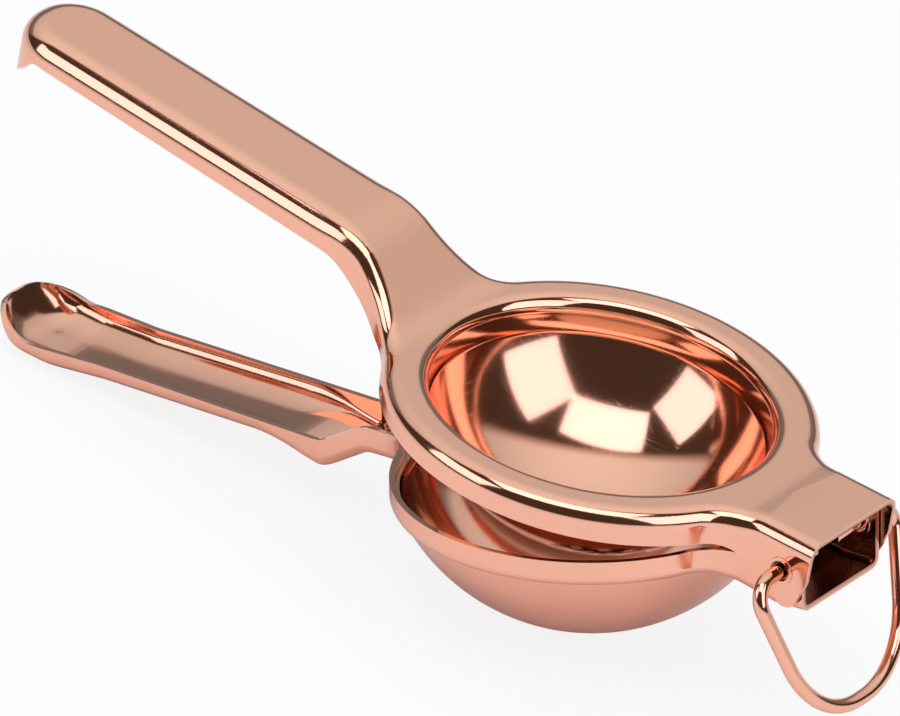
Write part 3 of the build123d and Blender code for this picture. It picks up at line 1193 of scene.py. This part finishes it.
@dataclass
class StrainerArm:
    """Strainer arm: trough handle, arched neck, ring pan and inner ears."""

    parts: Squeezer
    plate: float = 22.3
    ring: float = STRAINER_RING
    wall: float = 5.7
    corner: float = 2.4
    opening: float = 38.42
    neck_fillet: float = 7.0
    hinge_fillet: float = 10.0
    tip: float = 142.4
    spoon_run: float = 5.0
    spoon_rise: float = 2.0
    spoon_angle: float = 43.0
    spoon_rim: float = 27.0
    spoon_rim_run: float = 10.4
    spoon_rim_angle: float = 25.0
    end_at: float = 127.0
    end_half: float = 11.7
    end_drop: float = 1.2
    end_corner: float = 10.0
    shank_at: float = 114.0
    shank_half: float = 10.6
    shank_rim: float = 26.3
    side_fillet: float = 19.0
    knee_at: float = 66.0
    knee_drop: float = 2.5
    head_at: float = 58.5
    head_half: float = 11.4
    head_drop: float = 4.4
    head_rim: float = 24.3
    head_fillet: float = 5.0
    neck_at: float = 50.0
    neck_half: float = 8.2
    neck_rise: float = 0.5
    neck_rim_run: float = 3.5
    ring_rim_to: float = 42.0
    trough_deep: float = 4.6
    trough_wide: float = 8.4
    trough_from: float = 76.0
    dip: float = 3.5
    dip_from: float = 38.0
    dip_to: float = 52.0
    ear_foot: float = 44.0
    ear_back: float = 50.0
    ear_front: float = 56.86
    ear_top: float = 33.0
    front: float = 59.2
    front_rim: float = 30.66
    face_radii: Sequence[float] = (9.5, 28.0, 28.0, 5.0, 5.0, 2.5, 2.5)
    rim_radii: Sequence[float] = (9.5, 9.5, 5.0, 5.0, 2.5, 2.5, 2.0, 2.0, 4.0)
    apex: float = 14.0
    rows_lean: float = 46.2
    rows_square: float = 52.0
    beyond: float = 59.0

    def face(self) -> Profile:
        """Return the side line of the underside."""
        end = self.plate - self.end_drop
        rise = math.tan(math.radians(self.spoon_angle)) * (self.beyond + self.spoon_run)
        points = [
            (-self.tip - self.beyond, end + self.spoon_rise + rise),
            (-self.tip + self.spoon_run, end + self.spoon_rise),
            (-self.end_at, end),
            (-self.knee_at, self.plate - self.knee_drop),
            (-self.head_at, self.plate - self.head_drop),
            (-self.neck_at, self.plate),
            (self.dip_from, self.plate),
            (self.dip_to, self.plate - self.dip),
            (self.front + self.beyond, self.plate - self.dip),
        ]
        return Profile(points, self.face_radii)

    def rim(self) -> Profile:
        """Return the side line of the walls' edge."""
        top = self.plate + self.wall
        rise = math.tan(math.radians(self.spoon_rim_angle)) * (self.beyond + self.spoon_rim_run)
        points = [
            (-self.tip - self.beyond, self.spoon_rim + rise),
            (-self.tip + self.spoon_rim_run, self.spoon_rim),
            (-self.shank_at, self.shank_rim),
            (-self.head_at, self.head_rim),
            (-self.neck_at, top + self.neck_rise),
            (self.neck_rim_run - self.neck_at, top + self.neck_rise),
            (-self.ring_rim_to, top),
            (self.ear_foot, top),
            (self.ear_back, self.ear_top),
            (self.ear_front, self.ear_top),
            (self.front, self.front_rim),
        ]
        return Profile(points, self.rim_radii)

    def arm(self) -> PressedArm:
        """Return the arm's outline and side lines."""
        handle = [
            (-self.tip, 0.0),
            (-self.tip, self.end_half),
            (-self.end_at, self.end_half),
            (-self.shank_at, self.shank_half),
            (-self.head_at, self.head_half),
            (-self.neck_at, self.neck_half),
            (0.0, self.neck_half),
        ]
        fillets = [self.end_corner, self.side_fillet, self.side_fillet,
                   self.head_fillet, self.head_fillet]
        plan = Plan(handle, fillets, self.ring, self.neck_fillet, self.hinge_fillet,
                    self.parts.strainer_ear, self.front)
        return PressedArm(plan, self.face(), self.rim(), -1, self.corner, self.opening,
                          apex=-self.tip + self.apex, left=-self.rows_lean,
                          right=self.rows_square, deep=self.trough_deep,
                          wide=self.trough_wide, deep_to=-self.trough_from)

    def build(self) -> None:
        """Build and dress the arm."""
        parts = self.parts
        piece = new_piece("strainer_arm_sheet", self.arm().sheet(), parts.hinge.strainer)
        finish_arm(piece, parts, parts.eyelet_radius + parts.running, parts.hinge.strainer)
        parts.dress(piece, Slot.ARM, "strainer_arm", "lower_arm")


# ----------------------------------------------------- bowls, eyelets and loop


def dish_arc(centre: float, radius: float, first: float, last: float,
             step: float, reach: float = 0.0) -> list[Point]:
    """Return points of a dish's arc, radius from the axis and height.

    Args:
        centre: height of the arc's centre.
        radius: the arc's radius.
        first: start angle from straight down, in radians.
        last: end angle.
        step: largest distance between points.
        reach: distance of the centre from the axis.
    """
    count = max(2, math.ceil(abs(last - first) * radius / step))
    angles = [first + (last - first) * index / count for index in range(count + 1)]
    return [(reach + radius * math.sin(a), centre - radius * math.cos(a)) for a in angles]


@dataclass
class PressBowl:
    """Plain dished bowl in the press arm's collar."""

    parts: Squeezer
    plate: float = PRESS_PLATE
    opening: float = PRESS_OPENING
    roll: float = PRESS_ROLL
    depth: float = 23.0
    band: float = 4.4
    turn: float = 2.0
    lip: float = 0.15
    lip_run: float = 2.2

    def build(self) -> None:
        """Build and dress the bowl."""
        sheet = self.parts.bowl_sheet
        outside = self.opening - self.roll - self.parts.seat
        inside = outside - sheet
        top = self.plate - self.roll
        radius = (inside ** 2 + self.depth ** 2) / (2 * self.depth)
        centre = top - self.band - self.depth + radius
        reach = inside - self.turn
        foot = math.asin(reach / (radius - self.turn))
        height = centre - (radius - self.turn) * math.cos(foot)
        section = dish_arc(centre, radius + sheet, 0.0, foot, DISH_STEP)[:-1]
        section += dish_arc(height, self.turn + sheet, foot, math.pi / 2, BEND_STEP, reach)
        section += [(outside, top), (outside - self.lip, top), (inside, top - self.lip_run)]
        section += dish_arc(height, self.turn, math.pi / 2, foot, BEND_STEP, reach)
        section += dish_arc(centre, radius, foot, 0.0, DISH_STEP)[1:]
        piece = spun("press_bowl_dish", section, "Z", TURNED_STEPS, self.parts.hinge.press)
        ease_edges(piece, self.parts.press_bowl_edge, 3)
        self.parts.dress(piece, Slot.BOWL, "press_arm", "press_bowl")


@dataclass
class StrainerBowl:
    """Perforated dished bowl on its flat base."""

    parts: Squeezer
    ring: float = STRAINER_RING
    sphere: float = 42.4
    base: float = 13.4
    base_corner: float = 2.0
    corner_faces: int = 8
    band: float = 2.2
    hole: float = 3.7
    circles: Sequence[tuple[float, int]] = ((10.5, 8), (4.6, 4))
    punch: float = 6.0
    outward: float = 0.01
    drawn_from: float = 0.1
    drawn_full: float = -0.3

    def _foot(self, radius: float, floor: float, corner: float, centre: float) -> list[Point]:
        """Return flat floor, rounded corner and dish of one face of the sheet.

        Args:
            radius: the dish's radius.
            floor: height of the flat.
            corner: radius between flat and dish.
            centre: height of the sphere's centre.
        """
        reach = centre - floor - corner
        turn = math.acos(reach / (radius - corner))
        middle = (radius - corner) * math.sin(turn)
        angles = [turn * index / self.corner_faces for index in range(self.corner_faces + 1)]
        bend = [(middle + corner * math.sin(a), floor + corner - corner * math.cos(a))
                for a in angles]
        return [(0.0, floor), (middle / 2, floor), *bend]

    def build(self) -> None:
        """Build and dress the bowl."""
        parts = self.parts
        sheet = parts.bowl_sheet
        centre = math.sqrt(self.sphere ** 2 - self.base ** 2)
        reach = self.ring - parts.arm_sheet - parts.running
        shoulder = centre - math.sqrt(self.sphere ** 2 - reach ** 2)
        outer = self._foot(self.sphere, 0.0, self.base_corner + sheet, centre)
        inner = self._foot(self.sphere - sheet, sheet, self.base_corner, centre)
        start = math.atan2(outer[-1][0], centre - outer[-1][1])
        end = math.asin(reach / self.sphere)
        section = outer + dish_arc(centre, self.sphere, start, end, DISH_STEP)[1:]
        section += [(reach, shoulder + self.band), (reach - sheet, shoulder + self.band)]
        start = math.asin((reach - sheet) / (self.sphere - sheet))
        end = math.atan2(inner[-1][0], centre - inner[-1][1])
        section += dish_arc(centre, self.sphere - sheet, start, end, DISH_STEP)[:-1]
        section += inner[::-1]
        piece = spun("strainer_bowl_dish", section, "Z", TURNED_STEPS, parts.hinge.strainer)
        places = [Matrix.Rotation(2 * math.pi * i / count, 4, "Z")
                  @ Matrix.Translation((circle, 0, 0))
                  for circle, count in self.circles for i in range(count)]
        drill(piece, rods("drain_punch", places, self.hole / 2, self.punch,
                          parts.hinge.strainer))
        ease_edges(piece, parts.strainer_bowl_edge)
        paint(piece, "drawn", self._drawn, parts.hinge.strainer)
        parts.dress(piece, Slot.BOWL, "strainer_arm", "strainer_bowl")

    def _drawn(self, at: Vector, normal: Vector, _: float) -> float:
        """Return how far a place lies on the drawn outside of the dish."""
        outward = self.outward * at.xy.length * normal.xy.dot(at.xy.normalized())
        return fade(normal.z - outward, self.drawn_from, self.drawn_full)


@dataclass
class Eyelets:
    """The pair of hollow eyelets that join the ears."""

    parts: Squeezer
    head_width: float = 0.4
    head: float = 0.22
    mouth: float = 2.1
    mouth_edge: float = 0.05
    sides: int = 72

    def build(self) -> None:
        """Build and dress both eyelets."""
        parts = self.parts
        inner = parts.strainer_ear - parts.arm_sheet - parts.running
        outer = parts.hinge_width / 2 + parts.seat
        bore, wall = self.mouth, parts.eyelet_radius
        wide = wall + self.head_width
        place = parts.hinge.press @ parts.hinge.axis
        for name, side in (("right", 1.0), ("left", -1.0)):
            section = [
                (bore, side * (inner - self.head)), (wide, side * (inner - self.head)),
                (wide, side * inner), (wall, side * inner), (wall, side * outer),
                (wide, side * outer), (wide, side * (outer + self.head)),
                (bore, side * (outer + self.head)),
            ]
            piece = spun(f"hinge_eyelet_{name}", section, "Y", self.sides, place)
            ease_edges(piece, parts.eyelet_edge, 3)
            # Painted shade: the eyelet's mouth is darkened in colour, where shade falls in the bore.
            paint(piece, "pocket_shade", self._mouth, place)
            parts.dress(piece, Slot.EYELET, "press_arm", f"pivot_eyelet_{name}")

    def _mouth(self, at: Vector, _: Vector, __: float) -> float:
        """Return 1 in the shadowed mouth and 0 outside it."""
        return float(math.hypot(at.x, at.z) < self.mouth + self.mouth_edge)


@dataclass
class HangingLoop:
    """Bent wire loop with its two ends in the eyelets."""

    parts: Squeezer
    tip: float = 3.6
    half_width: float = 24.8
    reach: float = 32.5
    lean: float = 16.3
    shoulder: float = 4.5
    bottom: float = 19.2
    swing: float = 16.0
    sides: int = 32
    longest: float = 6.0
    sharpest: float = 3.5

    def _path(self) -> list[Mark]:
        """Return the wire's centre line, across and height."""
        foot = self.half_width - self.reach * math.tan(math.radians(self.lean))
        half = [(self.tip, 0.0), (self.half_width, 0.0), (foot, -self.reach)]
        points = half + [(-y, z) for y, z in reversed(half)]
        track = Track()
        track.rounded(points, [self.shoulder, self.bottom, self.bottom, self.shoulder])
        return thinned(track.marks, self.longest, math.radians(self.sharpest))

    def build(self) -> None:
        """Build and dress the loop."""
        parts = self.parts
        marks = self._path()
        frames = [Matrix.Translation((0, m.x, m.y)) @ Matrix.Rotation(m.heading, 4, "X")
                  @ Matrix.Rotation(-math.pi / 2, 4, "X") for m in marks]
        mesh = bmesh.new()
        made = bmesh.ops.create_circle(mesh, segments=self.sides, radius=parts.wire / 2,
                                       cap_ends=True, matrix=frames[0])
        edge = list({e for v in made["verts"] for e in v.link_edges})
        for here, there in zip(frames, frames[1:]):
            grown = bmesh.ops.extrude_edge_only(mesh, edges=edge)["geom"]
            verts = [g for g in grown if isinstance(g, bmesh.types.BMVert)]
            edge = [g for g in grown if isinstance(g, bmesh.types.BMEdge)
                    and g.verts[0] in verts and g.verts[1] in verts]
            bmesh.ops.transform(mesh, matrix=there @ here.inverted(), verts=verts)
        bmesh.ops.contextual_create(mesh, geom=edge)
        bmesh.ops.recalc_face_normals(mesh, faces=mesh.faces)
        hang = parts.hinge.axis @ Matrix.Rotation(math.radians(-self.swing), 4, "Y")
        piece = new_piece("hanging_loop_wire", mesh, parts.hinge.strainer @ hang)
        ease_edges(piece, parts.wire_edge, 3)
        parts.dress(piece, Slot.WIRE, "loop", "hanging_loop")


# ---------------------------------------------------------------------- studio


def towards(azimuth: float, elevation: float) -> Vector:
    """Return a direction as a unit vector.

    Args:
        azimuth: degrees round the part, from -Y towards +X.
        elevation: degrees above the horizon.
    """
    around, up = math.radians(azimuth), math.radians(elevation)
    return Vector((math.sin(around) * math.cos(up), -math.cos(around) * math.cos(up),
                   math.sin(up)))


@dataclass(frozen=True)
class SoftBox:
    """A soft box that faces the part.

    Args:
        name: its name.
        azimuth: direction, degrees from -Y towards +X.
        elevation: height above the horizon, in degrees.
        away: distance in metres.
        size: width and height in metres.
        power: in watts.
        mirrored: whether the metal shows it.
    """

    name: str
    azimuth: float
    elevation: float
    away: float
    size: tuple[float, float]
    power: float
    mirrored: bool = True

    def build(self, aim: Vector, colour: Sequence[float]) -> None:
        """Hang the box.

        Args:
            aim: point that it faces, in metres.
            colour: colour of its light.
        """
        back = towards(self.azimuth, self.elevation)
        data = bpy.data.lights.new(self.name, "AREA")
        data.shape = "RECTANGLE"
        data.size, data.size_y = self.size
        data.energy = self.power
        data.color = colour
        lamp = linked(self.name, data)
        lamp.visible_glossy = self.mirrored
        turn = back.to_track_quat("Z", "Y").to_matrix().to_4x4()
        lamp.matrix_world = Matrix.Translation(aim + back * self.away) @ turn


@dataclass
class Studio:
    """White table, soft boxes and a long lens.

    Args:
        aim: point that the camera looks at, in metres.
        azimuth: camera's direction round the part, degrees from -Y towards +X.
        elevation: camera's height above the horizon, in degrees.
        roll: camera's roll, in degrees.
        distance: camera's distance, in metres.
        lens: focal length in millimetres.
        sensor: width of the sensor in millimetres.
        clip_end: how far the camera sees, in metres.
        sweep_azimuth: direction of the pale sweep's middle.
        sweep_lean: how far the sweep comes over with height.
        sweep_edge: where the sweep ends.
        sweep_sharp: how sharply it ends.
        sweep_level: its brightness at the horizon.
        sweep_climb: brightness that it gains towards the zenith.
        sweep_from: height in degrees under which it is shaded.
        sweep_low: share of its brightness that is left there.
        low_sharp: how sharply the shade ends.
        table_to: height in degrees up to which the table's far edge shows.
        table: its brightness.
        table_sharp: how sharply it ends.
        gap: glow of the dark gaps.
        gap_colour: their colour.
        pale_colour: colour of the sweep and of the table's far edge.
        floor_glow: share of the table that glows white towards the camera.
        floor_mirrored: the same share in reflections.
        floor_half: half of the table's width, in metres.
        floor_white: the table's colour.
        floor_rough: its roughness.
        lamp: colour of the soft boxes.
        boxes: the soft boxes.
    """

    aim: Vector
    azimuth: float = 30.815
    elevation: float = 30.734
    roll: float = 9.372
    distance: float = 3.3333
    lens: float = 671.5
    sensor: float = 36.0
    clip_end: float = 20.0
    sweep_azimuth: float = -147.5
    sweep_lean: float = 0.76
    sweep_edge: float = 0.69
    sweep_sharp: float = 9.0
    sweep_level: float = 0.36
    sweep_climb: float = 0.62
    sweep_from: float = 24.0
    sweep_low: float = 0.32
    low_sharp: float = 11.0
    table_to: float = 3.0
    table: float = 0.75
    table_sharp: float = 40.0
    gap: float = 0.05
    gap_colour: tuple[float, ...] = (1.2, 0.9, 0.7, 1.0)
    pale_colour: tuple[float, ...] = (0.90, 1.0, 1.08, 1.0)
    floor_glow: float = 0.86
    floor_mirrored: float = 0.06
    floor_half: float = 3.0
    floor_white: tuple[float, ...] = (0.93, 0.93, 0.93, 1.0)
    floor_rough: float = 0.7
    lamp: tuple[float, float, float] = (1.0, 0.99, 1.16)
    boxes: Sequence[SoftBox] = (
        SoftBox("soft_box_left", -36.5, 29.0, away=1.2, size=(0.72, 0.72), power=2.9),
        SoftBox("soft_box_right", 85.5, 32.0, away=1.2, size=(0.83, 0.87), power=4.2),
        SoftBox("soft_box_above", 22.5, 68.0, away=1.2, size=(1.10, 0.60), power=4.3),
        SoftBox("soft_box_top", 0.0, 90.0, away=1.5, size=(1.5, 1.5), power=5.5,
                mirrored=False),
    )

    def camera(self) -> None:
        """Place the camera."""
        back = towards(self.azimuth, self.elevation)
        level = towards(self.azimuth + 90.0, 0.0)
        rise = back.cross(level)
        turn = math.radians(self.roll)
        right = math.cos(turn) * level + math.sin(turn) * rise
        above = back.cross(right)
        data = bpy.data.cameras.new("camera")
        data.lens = self.lens
        data.sensor_width = self.sensor
        data.clip_end = self.clip_end
        camera = linked("camera", data)
        basis = Matrix((right, above, back)).transposed().to_4x4()
        camera.matrix_world = Matrix.Translation(self.aim + back * self.distance) @ basis
        bpy.context.scene.camera = camera

    def floor(self) -> None:
        """Lay the white table."""
        mesh = bmesh.new()
        bmesh.ops.create_grid(mesh, x_segments=1, y_segments=1, size=self.floor_half)
        piece = new_piece("white_table", mesh, Matrix.Identity(4))
        material = bpy.data.materials.new("white_table")
        graph = Graph(material)
        matt = graph.node("BsdfPrincipled", {
            "Base Color": self.floor_white, "Roughness": self.floor_rough,
        })
        glow = graph.node("Emission", {"Color": WHITE})
        path = graph.node("LightPath", {}, "Is Camera Ray")
        gloss = graph.node("LightPath", {}, "Is Glossy Ray")
        seen = path * self.floor_glow + gloss * self.floor_mirrored
        mixed = graph.node("MixShader", {0: seen, 1: matt, 2: glow})
        graph.node("OutputMaterial", {"Surface": mixed})
        piece.data.materials.append(material)

    def world(self) -> None:
        """Set the room: a pale sweep behind and overhead, dark gaps elsewhere."""
        world = bpy.data.worlds.new("studio")
        bpy.context.scene.world = world
        graph = Graph(world)
        way = graph.node("TexCoord", {}, "Generated")
        x, y, z = (graph.node("SeparateXYZ", {"Vector": way}, axis)
                   for axis in ("X", "Y", "Z"))
        middle = math.radians(self.sweep_azimuth)
        behind = x * math.sin(middle) - y * math.cos(middle) + z * self.sweep_lean
        pale = (behind - self.sweep_edge).step(self.sweep_sharp)
        horizon = math.sin(math.radians(self.table_to))
        table = (horizon - z).step(self.table_sharp)
        low = math.sin(math.radians(self.sweep_from))
        lifted = (z - low).step(self.low_sharp)
        bright = (z * self.sweep_climb + self.sweep_level) * (
            lifted * (1.0 - self.sweep_low) + self.sweep_low)
        strength = (pale * bright).larger(table * self.table) + self.gap
        room = graph.mix(pale.larger(table), self.gap_colour, self.pale_colour)
        seen = graph.node("LightPath", {}, "Is Camera Ray")
        colour = graph.mix(seen, room, WHITE)
        level = strength * (1.0 - seen) + seen
        glow = graph.node("Background", {"Color": colour, "Strength": level})
        graph.node("OutputWorld", {"Surface": glow})

    def build(self) -> None:
        """Build the whole studio."""
        self.camera()
        self.floor()
        self.world()
        for box in self.boxes:
            box.build(self.aim, self.lamp)


def main() -> None:
    """Build the squeezer and its studio round the frame."""
    logging.basicConfig(level=logging.INFO, format="%(message)s")
    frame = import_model()
    bpy.context.scene.view_settings.view_transform = "Standard"
    joint = next(j for j in frame["joints"] if j["name"] == "press_hinge")
    base = next(m for m in frame["record"]["mounts"] if m["name"] == "strainer_base")
    down = base["axis"]
    hinge = Hinge(HINGE_REACH, HINGE_HEIGHT, Vector(joint["pos_m"]),
                  math.atan2(-down[0], -down[2]), REST_OPENING)
    parts = Squeezer(hinge, finishes())
    for sub_assembly in (PressArm, PressBowl, StrainerArm, StrainerBowl, Eyelets, HangingLoop):
        sub_assembly(parts).build()
    Studio(hinge.place + AIM_FROM_HINGE).build()


if __name__ == "__main__":
    main()
